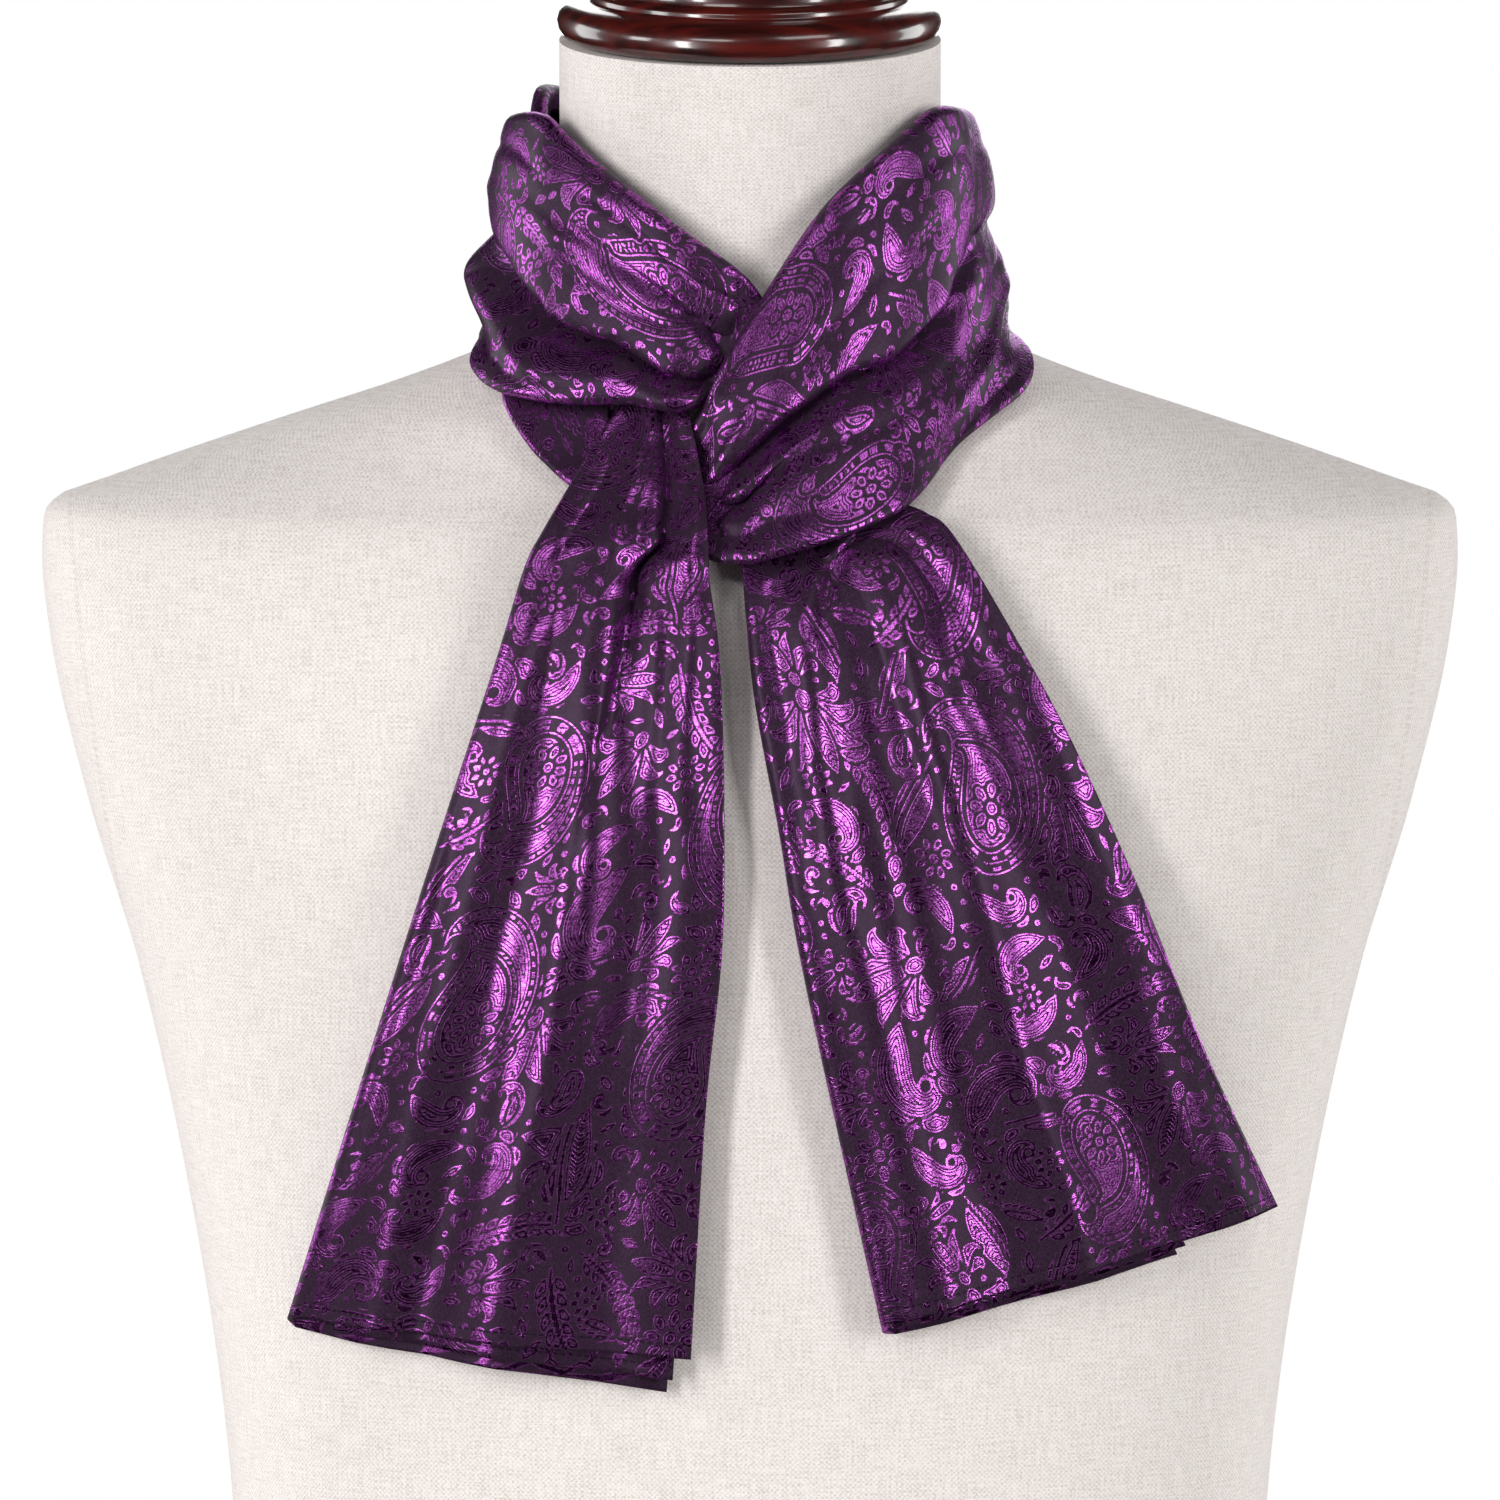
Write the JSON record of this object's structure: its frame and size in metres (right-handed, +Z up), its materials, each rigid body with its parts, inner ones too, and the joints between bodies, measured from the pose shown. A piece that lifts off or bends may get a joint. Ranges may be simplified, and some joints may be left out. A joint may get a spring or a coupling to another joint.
{
  "type": "long scarf on a dress form",
  "caption": "Long purple and dark paisley satin scarf, looped round the neck of a limbless linen dress form with a turned mahogany cap.",
  "frame": {"origin": "centre of the form's flat underside", "axes": "+Z up the form, from its base to its neck cap; the scarf's front faces -Y; +X is the viewer's right"},
  "size_m": [0.446, 0.2475, 0.6983],
  "materials": {
    "satin": "satin",
    "linen": "matte",
    "mahogany": "gloss"
  },
  "bodies": {
    "root": {"form_body": "linen", "neck_cap": "mahogany", "collar_left": "satin", "collar_right": "satin", "collar_under": "satin", "tail_left_outer": "satin", "tail_left_inner": "satin", "tail_right_outer": "satin", "tail_right_inner": "satin"}
  },
  "joints": []
}
